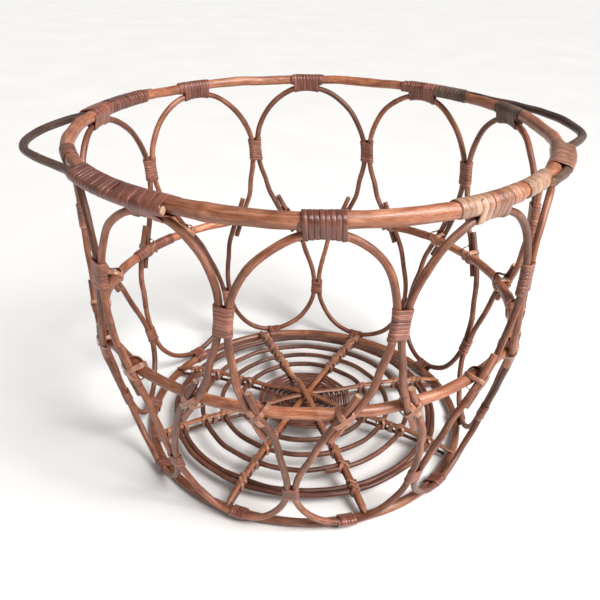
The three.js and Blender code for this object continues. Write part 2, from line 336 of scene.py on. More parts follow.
def cut_end(pale, dark):
    """The sawn end of a rod: pale pith full of fine dark pores, darker at the skin."""

    def build(tree):
        link = tree.links.new
        place = node(tree, "ShaderNodeTexCoord").outputs["Object"]
        pores = node(tree, "ShaderNodeTexVoronoi", in_Scale=2600.0, in_Randomness=0.9)
        cloud = node(tree, "ShaderNodeTexNoise", in_Scale=500.0, in_Detail=4.0)
        link(place, pores.inputs["Vector"])
        link(place, cloud.inputs["Vector"])
        dots = ramp(tree, pores.outputs["Distance"], (0.12, dark), (0.32, pale))
        dirt = ramp(tree, cloud.outputs["Fac"], (0.35, (0.6, 0.55, 0.5)), (0.65, (1.05, 1.05, 1.05)))
        colour = blend(tree, "MULTIPLY", 0.8, dots, dirt)
        bump = node(tree, "ShaderNodeBump", in_Strength=0.5, in_Distance=0.0003)
        link(pores.outputs["Distance"], bump.inputs["Height"])
        face = node(tree, "ShaderNodeBsdfPrincipled", in_Roughness=0.8)
        link(colour, face.inputs["Base Color"])
        link(bump.outputs[0], face.inputs["Normal"])
        output = node(tree, "ShaderNodeOutputMaterial")
        link(face.outputs[0], output.inputs[0])

    return build


def pale_paper(tree):
    """Matt studio floor with a very faint mottling."""
    link = tree.links.new
    place = node(tree, "ShaderNodeTexCoord").outputs["Object"]
    cloud = node(tree, "ShaderNodeTexNoise", in_Scale=6.0, in_Detail=3.0)
    link(place, cloud.inputs["Vector"])
    colour = ramp(tree, cloud.outputs["Fac"], (0.3, (0.84, 0.84, 0.84)), (0.7, (0.88, 0.88, 0.88)))
    face = node(tree, "ShaderNodeBsdfPrincipled", in_Roughness=0.85)
    link(colour, face.inputs["Base Color"])
    output = node(tree, "ShaderNodeOutputMaterial")
    link(face.outputs[0], output.inputs[0])


PITH = build_material("pith", cut_end((0.56, 0.36, 0.25), (0.16, 0.08, 0.05)))
# Each skin's dark, middle and light colours, roughness, coat, strength of the worn patches, fibres
SKINS = {
    "pole": (
        (0.21, 0.062, 0.028), (0.37, 0.125, 0.058), (0.56, 0.25, 0.14),
        0.4, 0.4, 0.7, (12, 700),
    ),
    "rod": (
        (0.13, 0.037, 0.018), (0.28, 0.093, 0.046), (0.47, 0.21, 0.122),
        0.42, 0.25, 0.9, (14, 1100),
    ),
    "floor_rod": (
        (0.06, 0.018, 0.011), (0.14, 0.045, 0.025), (0.25, 0.095, 0.055),
        0.48, 0.25, 0.6, (14, 1100),
    ),
    "slat": (
        (0.2, 0.062, 0.026), (0.35, 0.122, 0.054), (0.5, 0.22, 0.11),
        0.4, 0.35, 0.6, (12, 900),
    ),
    "cane": (
        (0.1, 0.027, 0.016), (0.21, 0.062, 0.038), (0.37, 0.135, 0.086),
        0.34, 0.5, 0.45, (10, 2200),
    ),
    "warm_cane": (
        (0.15, 0.045, 0.026), (0.28, 0.098, 0.06), (0.45, 0.19, 0.12),
        0.36, 0.4, 0.5, (10, 2200),
    ),
    "tan_cane": (
        (0.2, 0.07, 0.038), (0.34, 0.135, 0.077), (0.52, 0.26, 0.16),
        0.34, 0.5, 0.5, (10, 2200),
    ),
    "pale_cane": (
        (0.3, 0.145, 0.085), (0.46, 0.26, 0.17), (0.62, 0.4, 0.28),
        0.38, 0.4, 0.45, (10, 2200),
    ),
    "weathered": (
        (0.055, 0.03, 0.021), (0.11, 0.061, 0.044), (0.2, 0.118, 0.085),
        0.5, 0.2, 0.7, (14, 1100),
    ),
}
MATERIALS = {name: build_material(name + "_skin", rattan(*values)) for name, values in SKINS.items()}

# ---------------------------------------------------------------- mesh making

# Points on each finished rod, which ties are drawn round
SURFACES = {}


def unit(vectors):
    return vectors / np.linalg.norm(vectors, axis=-1, keepdims=True)


def outward(points):
    """Level direction away from the Z axis."""
    return unit(points * (1, 1, 0))


def tangents(path, closed):
    if closed:
        return unit(np.roll(path, -1, axis=0) - np.roll(path, 1, axis=0))
    return unit(np.gradient(path, axis=0))


def lengths(path, closed=False):
    """Distance along a path at each of its points, and the whole length."""
    step = np.linalg.norm(np.roll(path, -1, axis=0) - path, axis=1)
    total = step.sum() if closed else step[:-1].sum()
    return np.concatenate([[0], np.cumsum(step)[:-1]]), total


def evenly(path, spacing, closed=False):
    """The path with its points spaced evenly, about a spacing apart."""
    ring = np.concatenate([path, path[:1]]) if closed else path
    along, total = lengths(ring)
    count = max(4, round(total / spacing))
    places = np.linspace(0, total, count, endpoint=not closed)
    return np.stack([np.interp(places, along, ring[:, i]) for i in range(3)], axis=-1)


OCTAVES = (1.0, 0.53, 0.31)
OCTAVE_SUM = 1.5


def ripple(along, wave, total=None):
    """Smooth random waviness of unit size along a length; it closes on itself over total."""
    value = np.zeros_like(along)
    for octave in OCTAVES:
        turns = 1 / (wave * octave)
        if total:
            turns = max(1, round(total * turns)) / total
        value += octave * np.sin(TAU * (along * turns + random.random()))
    return value / OCTAVE_SUM


def skin(name, rings, grain, tone, joint, materials, closed=False):
    """Mesh over rows of equal loops, with capped ends unless closed."""
    rows, count, _ = rings.shape
    i = np.arange(rows if closed else rows - 1)[:, None]
    j = np.arange(count)[None, :]
    after_i = (i + 1) % rows
    after_j = (j + 1) % count
    corners = [i * count + j, i * count + after_j, after_i * count + after_j, after_i * count + j]
    faces = np.stack(np.broadcast_arrays(*corners), axis=-1).reshape(-1, 4).tolist()
    sides = len(faces)
    if not closed:
        faces.append(list(range(count))[::-1])
        faces.append([(rows - 1) * count + n for n in range(count)])
    mesh = bpy.data.meshes.new(name)
    mesh.from_pydata(rings.reshape(-1, 3).tolist(), [], faces)
    for material in materials:
        mesh.materials.append(material)
    smooth_faces = np.arange(len(faces)) < sides
    mesh.polygons.foreach_set("use_smooth", smooth_faces)
    slots = np.where(smooth_faces, 0, len(materials) - 1)
    mesh.polygons.foreach_set("material_index", slots.astype(np.int32))
    vectors = mesh.attributes.new("grain", "FLOAT_VECTOR", "POINT")
    vectors.data.foreach_set("vector", grain.reshape(-1).astype(np.float32))
    for label, values in (("tone", tone), ("joint", joint)):
        spread = np.broadcast_to(np.reshape(values, (-1, 1)), (rows, count))
        layer = mesh.attributes.new(label, "FLOAT", "POINT")
        layer.data.foreach_set("value", spread.reshape(-1).astype(np.float32))
    mesh.update()
    piece = bpy.data.objects.new(name, mesh)
    bpy.context.collection.objects.link(piece)
    return piece


def place_piece(piece, slot, *nodes):
    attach(piece, "root")
    if nodes:
        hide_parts(*nodes)
    return piece


# Leaf joints: how far along the first one is, how far apart they are and how near an end they may be, then
# the height, place and width of each one's knuckle, its shoulders, the groove beyond it and its dark ring
JOINT_FIRST = (0.02, 0.11)
JOINT_APART = (0.085, 0.19)
JOINT_END = 0.01
KNUCKLE = (0.05, 0, 2.0 * MM)
SHOULDERS = (0.03, 0, 9 * MM)
GROOVE = (0.035, 3.2 * MM, 1.3 * MM)
DARK_RING = (1, 1.6 * MM, 0.75 * MM)


def bell(along, height, place, width):
    return height * np.exp(-(((along - place) / width) ** 2))


def joints_along(along, total, closed):
    """Swelling and darkness of the leaf joints that a cane carries every hand's breadth or so."""
    swell = np.zeros_like(along)
    dark = np.zeros_like(along)
    place = random.uniform(*JOINT_FIRST)
    while place < total - JOINT_END:
        off = along - place
        swell += bell(off, *KNUCKLE) + bell(off, *SHOULDERS)
        swell -= bell(off, *GROOVE)
        dark += bell(off, *DARK_RING)
        place += random.uniform(*JOINT_APART)
    if closed:
        fade = smooth(np.minimum(along, total - along) / JOINT_END)
        swell, dark = swell * fade, dark * fade
    return swell, np.clip(dark, 0, 1)


# How a rod varies: shares of its girth and tone, a turn in radians, and wave lengths in metres
SIDEWAYS_WAVE = 0.09
UPWARD_WAVE = 0.11
GIRTH = 0.035
GIRTH_WAVE = 0.07
OVAL = 0.025
OVAL_TURN = 2.5
OVAL_WAVE = 0.3
LONG_TONE = 0.1
LONG_TONE_WAVE = 0.35
SHORT_TONE = 0.05
SHORT_TONE_WAVE = 0.05
# A sawn end: the share of the girth just inside it, and how far its edge is worn back
END_GIRTH = 0.99
END_BITE = 0.55 * MM
# Each piece's grain starts at a place of its own, up to this far along
GRAIN_START = 3


def rod(name, path, radius, slot, nodes=(), closed=False, tone=0.5, sides=16, side=None, wander=0.55 * MM,
        spacing=2.2 * MM, end_scale=0.9, finish=None, joint_depth=0.7):
    """A length of rattan along a path: nearly round, wavering a little, with joints and sawn ends."""
    path = evenly(path, spacing, closed)
    along, total = lengths(path, closed)
    swell, dark = joints_along(along, total, closed)
    period = total if closed else None
    across = outward(path) if side is None else np.broadcast_to(side, path.shape)
    t = tangents(path, closed)
    u = unit(across - t * np.sum(across * t, axis=1, keepdims=True))
    v = np.cross(t, u)
    path = path + u * (wander * ripple(along, SIDEWAYS_WAVE, period))[:, None]
    path = path + v * (wander * ripple(along, UPWARD_WAVE, period))[:, None]
    size = radius(azimuth_of(path)) if callable(radius) else radius
    thick = size * (1 + swell + GIRTH * ripple(along, GIRTH_WAVE, period))
    angle = np.linspace(0, TAU, sides, endpoint=False)[None, :]
    turned = OVAL_TURN * ripple(along, OVAL_WAVE, period)
    oval = 1 + OVAL * np.cos(2 * angle + turned[:, None])
    if not closed:
        thick[[0, -1]] *= end_scale
        thick[[1, -2]] *= END_GIRTH
        path[1] = path[0] + t[0] * END_BITE
        path[-2] = path[-1] - t[-1] * END_BITE
    reach = thick[:, None] * oval
    x, y = reach * np.cos(angle), reach * np.sin(angle)
    rings = path[:, None, :] + u[:, None, :] * x[..., None] + v[:, None, :] * y[..., None]
    start = random.uniform(0, GRAIN_START)
    grain = np.stack([np.broadcast_to(along[:, None] + start, x.shape), x + start, y], axis=-1)
    toned = tone + LONG_TONE * ripple(along, LONG_TONE_WAVE, period)
    toned = toned + SHORT_TONE * ripple(along, SHORT_TONE_WAVE, period)
    SURFACES[name] = rings.reshape(-1, 3)
    piece = skin(name, rings, grain, toned, dark * joint_depth, [MATERIALS[finish or slot], PITH], closed)
    return place_piece(piece, slot, *nodes)


# A strip's section: its rise as a share of its thickness, and its points as shares of its width
STRIP_RISE = np.array([0, 0.7, 1.0, 0.95, 1.0, 0.7, 0])
STRIP_ACROSS = np.array([-0.5, -0.48, -0.3, 0, 0.3, 0.48, 0.5])
# How a strip varies: shares of its width and tone, wave lengths, and its narrowing towards its ends
STRIP_WIDTH_SHARE = 0.07
STRIP_WIDTH_WAVE = 0.04
STRIP_TONE = 0.12
STRIP_TONE_WAVE = 0.05
STRIP_END = 0.45
STRIP_END_LENGTH = 3 * MM


def strip(name, path, normals, width, thick, tone, nodes=(), closed=False, finish="cane"):
    """A flat cane strip laid along a path, its glossy side outwards along the normals."""
    t = tangents(path, closed)
    n = unit(normals - t * np.sum(normals * t, axis=1, keepdims=True))
    b = np.cross(t, n)
    along, total = lengths(path, closed)
    period = total if closed else None
    wide = width * (1 + STRIP_WIDTH_SHARE * ripple(along, STRIP_WIDTH_WAVE, period))
    if not closed:
        inward = smooth(np.minimum(along, total - along) / STRIP_END_LENGTH)
        wide = wide * (STRIP_END + (1 - STRIP_END) * inward)
    rise = np.broadcast_to(thick * STRIP_RISE, (len(path), len(STRIP_RISE)))
    reach = wide[:, None] * STRIP_ACROSS
    rings = path[:, None, :] + n[:, None, :] * rise[..., None] + b[:, None, :] * reach[..., None]
    start = random.uniform(0, GRAIN_START)
    grain = np.stack([np.broadcast_to(along[:, None] + start, reach.shape), reach + start, rise], axis=-1)
    toned = tone + STRIP_TONE * ripple(along, STRIP_TONE_WAVE, period)
    piece = skin(name, rings, grain, toned, np.zeros(len(path)), [MATERIALS[finish]], closed)
    return place_piece(piece, "cane", *nodes)


OUTLINE_STEPS = 180


def outline(circles, grow, count):
    """Evenly spaced points round a bundle of circles (x, y, radius), and the way out at each."""
    a = np.linspace(0, TAU, OUTLINE_STEPS, endpoint=False)
    way = np.stack([np.cos(a), np.sin(a)], axis=-1)
    bunch = np.array(circles)
    far = (way @ bunch[:, :2].T + bunch[:, 2]).argmax(axis=1)
    points = bunch[far, :2] + way * (bunch[far, 2] + grow)[:, None]
    both = np.concatenate([points, way], axis=1)
    both = np.concatenate([both, both[:1]])
    step = np.linalg.norm(np.diff(both[:, :2], axis=0), axis=1)
    along = np.concatenate([[0], np.cumsum(step)])
    places = np.linspace(0, along[-1], count, endpoint=False)
    even = np.stack([np.interp(places, along, both[:, i]) for i in range(4)], axis=-1)
    return even[:, :2], unit(even[:, 2:])


# A coil's points in a turn, pitch as a share of its cane's width, fewest turns, how far turns slip along and
# stand off the rods, and how many turns and how many thicknesses its ends take to tuck in
PER_TURN = 40
PITCH = 1.04
FEWEST_TURNS = 1.5
SLIP = 0.16 * MM
LIFT = 0.22 * MM
OFF_RODS = 0.1 * MM
TUCK_TURNS = 0.2
TUCK_DEPTH = 1.4


def coil(name, place, circles, length, nodes=(), width=CANE_W, thick=CANE_T, tone=0.5, start=0.2,
         finish="cane", middle=0.0, lowest=None):
    """Flat cane wound round a bundle. place(axial, x, y) gives a point; circles(axial) the bundle.
    Turns are pressed flat where they would go under a lowest height."""
    pitch = width * PITCH
    turns = max(FEWEST_TURNS, length / pitch)
    steps = np.arange(round(turns * PER_TURN) + 1)
    done = steps / PER_TURN
    marks = np.arange(math.ceil(turns) + 2)
    slip = np.interp(done, marks, random.normal(0, SLIP, len(marks)))
    lift = np.interp(done, marks, random.uniform(0, LIFT, len(marks)))
    axial = middle + (done / turns - 0.5) * (length - width) + slip
    tuck = smooth(np.minimum(done, turns - done) / TUCK_TURNS)
    points = []
    normals = []
    for a, turn, rise, into in zip(axial, done, lift, tuck):
        xy, way = outline(circles(a), OFF_RODS + rise - (1 - into) * thick * TUCK_DEPTH, PER_TURN)
        i = round((turn + start) * PER_TURN) % PER_TURN
        points.append(place(a, *xy[i]))
        normals.append(place(a, *(xy[i] + way[i] * MM)) - points[-1])
    points = np.array(points)
    if lowest is not None:
        points[:, 2] = np.maximum(points[:, 2], lowest + thick)
    return strip(name, points, unit(np.array(normals)), width, thick, tone, nodes, finish=finish)


def convex(points):
    """Corners of the tightest convex outline round flat points, in order."""
    order = points[np.lexsort((points[:, 1], points[:, 0]))]

    def chain(run):
        kept = []
        for q in run:
            while len(kept) > 1:
                a = kept[-1] - kept[-2]
                b = q - kept[-2]
                if a[0] * b[1] - a[1] * b[0] > 0:
                    break
                kept.pop()
            kept.append(q)
        return kept[:-1]

    return np.array(chain(order) + chain(order[::-1]))


def rounded(ring):
    """Values round a closed line, each evened out twice with its neighbours."""
    for _ in range(2):
        ring = (np.roll(ring, 1, axis=0) + 2 * ring + np.roll(ring, -1, axis=0)) / 4
    return ring


TIE_STEPS = 48
TIE_SLICE = 1.3 * MM
TIE_LIFT = 0.15 * MM
# A tie is pulled into the hollows between its pieces: from this far off, by this share, at most this deep
TIE_SLACK = 1.2 * MM
TIE_PULL = 0.65
TIE_DEPTH = 3.0 * MM


def tie(name, centre, across, out, held, width, thick, tone, grow=0.1 * MM, reach=13 * MM, finish="cane"):
    """One turn of cane round the named pieces, in the plane of two directions through a point."""
    normal = np.cross(across, out)
    near = np.concatenate([SURFACES[piece] for piece in held]) - centre
    near = near[np.linalg.norm(near, axis=1) < reach]
    near = near[np.abs(near @ normal) < max(width / 2, TIE_SLICE)]
    cut = np.stack([near @ across, near @ out], axis=-1)
    flat = convex(cut)
    ring = np.concatenate([flat, flat[:1]])
    along = np.concatenate([[0], np.cumsum(np.linalg.norm(np.diff(ring, axis=0), axis=1))])
    places = np.linspace(0, along[-1], TIE_STEPS, endpoint=False)
    xy = np.stack([np.interp(places, along, ring[:, i]) for i in range(2)], axis=-1)
    xy = rounded(xy)
    run = np.roll(xy, -1, axis=0) - np.roll(xy, 1, axis=0)
    way = unit(np.stack([run[:, 1], -run[:, 0]], axis=-1))
    clear_of = np.linalg.norm(xy[:, None] - cut[None], axis=-1).min(axis=1)
    sink = rounded(np.clip((clear_of - TIE_SLACK) * TIE_PULL, 0, TIE_DEPTH))
    xy = xy + way * (grow + TIE_LIFT - sink)[:, None]
    path = centre + xy[:, :1] * across + xy[:, 1:] * out
    normals = way[:, :1] * across + way[:, 1:] * out
    return strip(name, path, normals, width, thick, tone, closed=True, finish=finish)


# ---------------------------------------------------------------- poles: rim, base ring, mid hoop


CIRCLE_STEPS = 400
HOOP_STEPS = 240


def full_circle(radius, z):
    return polar(np.linspace(0, TAU, CIRCLE_STEPS, endpoint=False), radius, z)


rod("rim", full_circle(rim_r, rim_z), rim_thick, "pole", ["rim_pole"], True, tone=0.58, sides=24,
    spacing=3 * MM, joint_depth=0.3)
# The base ring is thinner than its node, which leaves room above the ground for joints and wavering
rod("base", full_circle(base_r, base_z), base_z * BASE_SHARE, "pole", ["base_ring"], True, tone=0.36,
    sides=24, wander=0.08 * MM)


def hoop_length(name, start, end, tone):
    turned = np.linspace(start * DEG, end * DEG - CUT_GAP / hoop_r, HOOP_STEPS)
    return rod(name, polar(turned, hoop_r, hoop_z), HOOP_R, "pole", [name], tone=tone, sides=20)


hoop_length("mid_hoop_front", HOOP_CUTS[0], HOOP_CUTS[1], 0.62)
hoop_length("mid_hoop_back", HOOP_CUTS[1], HOOP_CUTS[0] + 360, 0.5)

# ---------------------------------------------------------------- handles

# The azimuths in degrees where each handle starts, leaves the rim, peaks, meets the rim again and ends
HANDLES = {
    "handle_left": (204, 235, 256, 277, 307),
    "handle_right": (28, 46, 84, 99, 124),
}
BOW_POWER = 1.5
BOW_STEPS = 400
BOW_TRIES = 4


def bow(name, degrees):
    """How far out the handle is bowed at an azimuth, from 0 against the rim to 1 at its peak."""
    _, lift, peak, land, _ = HANDLES[name]
    u = np.where(degrees < peak, (peak - degrees) / (peak - lift), (degrees - peak) / (land - peak))
    return (1 - np.clip(u, 0, 1) ** 2) ** BOW_POWER


def handle_path(name):
    low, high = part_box(name)
    reach = max(-low[0], high[0]) - HANDLE_R
    start, _, _, _, end = HANDLES[name]
    degrees = np.linspace(start, end, BOW_STEPS)
    off = reach - hug_r
    for _ in range(BOW_TRIES):
        off += reach - np.max((hug_r + off * bow(name, degrees)) * np.abs(np.sin(degrees * DEG)))
    return polar(degrees * DEG, hug_r + off * bow(name, degrees), rim_z)


for handle in HANDLES:
    rod(handle + "_rod", handle_path(handle), HANDLE_R, "pole", [handle], tone=0.4, sides=18,
        finish="weathered", joint_depth=0.4)


def held_handles(azimuth):
    degrees = (azimuth / DEG) % 360
    return [n for n, d in HANDLES.items() if d[0] < degrees < d[4] and bow(n, degrees) == 0]


# ---------------------------------------------------------------- wall rods

ARCH_TONES = (0.3, 0.66)
LOOP_TONES = (0.22, 0.6)

for k in range(ARCHES):
    middle = arch_azimuth(k)
    left = arch_half(middle - between_azimuth(k - 1))
    right = arch_half(between_azimuth(k) - middle)
    path = np.concatenate([
        wall_point(middle - left[:0:-1, 0], left[:0:-1, 1]),
        wall_point(middle + right[:, 0], right[:, 1]),
    ])
    tone = random.uniform(*ARCH_TONES)
    rod(f"arch_{k + 1}", path, ROD_R, "rod", [f"upper_arch_{k + 1}"], tone=tone, sides=14)

    following = arch_azimuth(k + 1)
    down = loop_half(between_azimuth(k) - middle)
    up = loop_half(following - between_azimuth(k))
    path = np.concatenate([
        wall_point(middle + down[:, 0], down[:, 1]),
        wall_point(following - up[-2::-1, 0], up[-2::-1, 1]),
    ])
    tone = random.uniform(*LOOP_TONES)
    rod(f"loop_{k + 1}", path, ROD_R, "rod", [f"lower_loop_{k + 1}"], tone=tone, sides=14)

# ---------------------------------------------------------------- lashings on the wall

# Each rim lashing's turns: (length, middle from the arch's top, cane width, tone, finish), in mm
RIM_WRAPS = [
    [(38, 0, 3.6, 0.5, "cane")],
    [(44, -3, 3.4, 0.42, "cane"), (44, 35, 5.0, 0.66, "weathered")],
    [(40, 0, 3.4, 0.7, "weathered")],
    [(66, 12, 10.0, 0.45, "tan_cane")],
    [(34, 18, 6.0, 0.5, "pale_cane"), (38, -12, 5.0, 0.66, "tan_cane"), (44, -48, 9.0, 0.42, "pale_cane")],
    [(33, 0, 3.6, 0.45, "cane")],
    [(56, 2, 9.0, 0.62, "cane"), (60, 51, 4.6, 0.3, "cane")],
    [(30, 0, 3.6, 0.42, "cane")],
    [(42, 3, 8.0, 0.66, "cane"), (58, 47, 4.2, 0.36, "cane")],
    [(40, -3, 3.8, 0.45, "cane")],
]
ARCH_HOLD = 14 * MM
RIM_CANE_T = 0.95 * MM
WAIST_LENGTH = 27 * MM
WAIST_CANE_T = 1.1 * MM
FOOT_LENGTH = 17 * MM
FOOT_CANE_W = 2.6 * MM
BASE_LENGTH = 18 * MM
BASE_HELD_R = POLE_R * 0.93
TIE_CANE_T = 0.6 * MM
TIE_OFF = 0.05 * MM
TIE_LAYER = 0.4 * MM
TIE_REACH = 11 * MM
# Ranges drawn from: tones, the hoop ties' widths in mm, and the slants of a pair of crossed turns
WAIST_TONES = (0.4, 0.62)
FOOT_TONES = (0.32, 0.55)
BASE_TONES = (0.4, 0.6)
HOOP_TIE_TONES = (0.45, 0.7)
HOOP_TIE_WIDTHS = (4.2, 5.4)
HOOP_TIE_RISING = (36, 54)
HOOP_TIE_FALLING = (30, 48)


def rim_wrap(k):
    middle = arch_azimuth(k) + twist(top_z)
    span = min(between_azimuth(k) - arch_azimuth(k), arch_azimuth(k) - between_azimuth(k - 1))

    def circles(axial):
        found = [(0, 0, rim_thick(middle + axial / rim_r))]
        if held_handles(middle + axial / rim_r):
            found.append((hug_r - rim_r, 0, HANDLE_R))
        if abs(axial) < ARCH_HOLD:
            z = top_z - crown_drop(axial / rim_r, span)
            found.append((wall_r(z) - rim_r, z - rim_z, ROD_R))
        return found

    def place(axial, x, y):
        return polar(middle + axial / rim_r, rim_r + x, rim_z + y)

    for n, (length, shift, width, tone, finish) in enumerate(RIM_WRAPS[k]):
        nodes = [f"rim_lashing_{k + 1}"] if n == 0 else []
        coil(f"rim_wrap_{k + 1}_{n}", place, circles, length * MM, nodes, width * MM, RIM_CANE_T, tone,
             finish=finish, middle=shift * MM)


def waist_wrap(k):
    middle = between_azimuth(k)
    span = middle - arch_azimuth(k)

    def circles(axial):
        if axial > 0:
            rise = min(axial / (top_z - waist_z), 1)
            angle = (span - waist_pair) * math.sqrt(1 - rise * rise)
        else:
            angle = leg_angle(waist_z + axial, span)
        apart = (span - angle) * wall_r(waist_z)
        return [(0, -apart, ROD_R), (0, apart, ROD_R)]

    def place(axial, x, y):
        z = waist_z + axial
        return polar(middle + twist(z) + y / wall_r(z), wall_r(z) + x, z)

    tone = random.uniform(*WAIST_TONES)
    coil(f"waist_wrap_{k + 1}", place, circles, WAIST_LENGTH, [f"waist_lashing_{k + 1}"], thick=WAIST_CANE_T,
         tone=tone, finish="warm_cane")


def foot_wrap(k):
    middle = arch_azimuth(k)
    span = between_azimuth(k) - middle

    def circles(axial):
        if axial > 0:
            angle = leg_angle(foot_z + axial, span)
        else:
            fall = min(-axial / (foot_z - toe_z), 1)
            angle = span - (span - foot_pair) * math.sqrt(1 - fall * fall)
        apart = angle * wall_r(foot_z)
        return [(0, -apart, ROD_R), (0, apart, ROD_R)]

    def place(axial, x, y):
        z = foot_z + axial
        return polar(middle + y / wall_r(z), wall_r(z) + x, z)

    tone = random.uniform(*FOOT_TONES)
    coil(f"foot_wrap_{k + 1}", place, circles, FOOT_LENGTH, width=FOOT_CANE_W, tone=tone, finish="warm_cane")


def base_wrap(k):
    middle = between_azimuth(k)
    span = middle - arch_azimuth(k)

    def circles(axial):
        z = toe_z + toe_lift(axial / base_r, span)
        return [(0, 0, BASE_HELD_R), (wall_r(z) - base_r, z - base_z, ROD_R)]

    def place(axial, x, y):
        return polar(middle + axial / base_r, base_r + x, base_z + y)

    tone = random.uniform(*BASE_TONES)
    coil(f"base_wrap_{k + 1}", place, circles, BASE_LENGTH, tone=tone, start=0.5, lowest=2 * GAP)


def hoop_ties(k):
    """Crossed turns of flat cane round the mid hoop and the spliced legs on each side of an arch."""
    before = (k - 1) % ARCHES
    sides = (
        ("left", between_azimuth(k - 1) - arch_azimuth(k), f"loop_{before + 1}"),
        ("right", between_azimuth(k) - arch_azimuth(k), f"loop_{k + 1}"),
    )
    for side, span, loop in sides:
        angle = math.copysign(leg_angle(hoop_z, abs(span)), span)
        azimuth = arch_azimuth(k) + twist(hoop_z) + angle
        out = polar(azimuth, 1.0, 0.0)
        level = polar(azimuth + math.pi / 2, 1.0, 0.0)
        up = np.array([0, 0, 1.0])
        centre = polar(azimuth, (wall_r(hoop_z) + hoop_r) / 2, hoop_z)
        held = (f"arch_{k + 1}", loop, "mid_hoop_front", "mid_hoop_back")
        wide = random.uniform(*HOOP_TIE_WIDTHS) * MM
        tilts = (random.uniform(*HOOP_TIE_RISING), -random.uniform(*HOOP_TIE_FALLING))
        for n, tilt in enumerate(tilts):
            across = level * math.cos(tilt * DEG) + up * math.sin(tilt * DEG)
            tone = random.uniform(*HOOP_TIE_TONES)
            tie(f"hoop_tie_{k + 1}_{side}_{n}", centre, across, out, held, wide, TIE_CANE_T, tone,
                TIE_OFF + n * TIE_LAYER, reach=TIE_REACH, finish="tan_cane")


for k in range(ARCHES):
    rim_wrap(k)
    waist_wrap(k)
    foot_wrap(k)
    base_wrap(k)
    hoop_ties(k)


def hoop_wrap(name, azimuth, length, tone):
    """Cane wound round the mid hoop alone, over the scarf of its two lengths."""
    coil(
        name,
        lambda axial, x, y: polar(azimuth * DEG + axial / hoop_r, hoop_r + x, hoop_z + y),
        lambda axial: [(0, 0, HOOP_R)],
        length, tone=tone,
    )


hoop_wrap("hoop_scarf_left", azimuth=297, length=62 * MM, tone=0.6)
hoop_wrap("hoop_scarf_right", azimuth=92, length=30 * MM, tone=0.5)

# ---------------------------------------------------------------- floor

CROWN = 13 * MM
CROWN_POWER = 4
SPOKES = 4
SPOKE_TURN = 22.5
STACK_R = 46 * MM
CROSS_R = 10 * MM
SLAT_OVER = 2 * MM
UNDER_SHORT = 1 * MM
SPOKE_STEPS = 200
# How a slat varies: shares of its width and tone, wave lengths, and its narrowing towards its ends
SLAT_SWELL = 0.6
SLAT_WIDTH_SHARE = 0.04
SLAT_WIDTH_WAVE = 0.08
SLAT_END = 0.55
SLAT_WIDENING = 0.45
SLAT_END_LENGTH = 7 * MM
SLAT_TONES = (0.45, 0.7)
SLAT_TONE = 0.08
SLAT_TONE_WAVE = 0.2
SPOKE_TIE_SLANTS = (38, 50)
SPOKE_TIE_TONES = (0.4, 0.7)
SPOKE_TIE_W = 3.2 * MM
SPOKE_TIE_T = 0.4 * MM
SPOKE_TIE_LAYER = 0.25 * MM
SPOKE_TIE_REACH = 7 * MM
UNDER_WANDER = 0.1 * MM
RINGS = [middle_of_ring(f"floor_ring_{n}") for n in range(1, 6)]
woven_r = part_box("woven_centre")[1][0]
clear = RING_R + FLOOR_GAP


def floor_z(radius):
    edge = base_z + POLE_R - RING_R
    return edge + CROWN * (1 - (radius / base_r) ** CROWN_POWER)


def crossing(radius):
    return smooth((STACK_R - radius) / (STACK_R - CROSS_R))


def slat_z(radius, i):
    return floor_z(radius) + clear + i * (SLAT_T + GAP) * crossing(radius)


def under_z(radius, i):
    return floor_z(radius) - clear - UNDER_R - i * (2 * UNDER_R + GAP) * crossing(radius)


# The third ring's ends lie side by side beside a spoke at the front
LAPPED = 3
LAP_START = 153
LAP = 14
LAP_EASE = 0.5
LAP_STEPS = 420
RING_TONES = (0.35, 0.6)

for n, (radius, _) in enumerate(RINGS, start=1):
    name = f"floor_ring_{n}"
    tone = random.uniform(*RING_TONES)
    if n == LAPPED:
        turned = np.linspace(LAP_START * DEG, (LAP_START + 360 + LAP) * DEG, LAP_STEPS)
        eased = smooth((turned - turned[0]) / LAP_EASE) - smooth((turned[-1] - turned) / LAP_EASE)
        line = polar(turned, radius + (RING_R + GAP) * eased, floor_z(radius))
        rod(name + "_lapped", line, RING_R, "floor_rod", [name], tone=tone)
    else:
        rod(name + "_rod", full_circle(radius, floor_z(radius)), RING_R, "floor_rod", [name], True, tone)

# A slat's section, flat beneath and round on top, as shares of its width and thickness
SLAT_SECTION = np.array([
    (-0.5, 0), (0.5, 0), (0.47, 0.34), (0.36, 0.68), (0.19, 0.92),
    (0, 1), (-0.19, 0.92), (-0.36, 0.68), (-0.47, 0.34),
])[::-1]


def spoke_line(i, reach, height):
    azimuth = (SPOKE_TURN + 180 / SPOKES * i) * DEG
    places = np.linspace(-reach, reach, SPOKE_STEPS)
    return polar(azimuth, places, height(np.abs(places), i)), polar(azimuth + math.pi / 2, 1.0, 0.0)


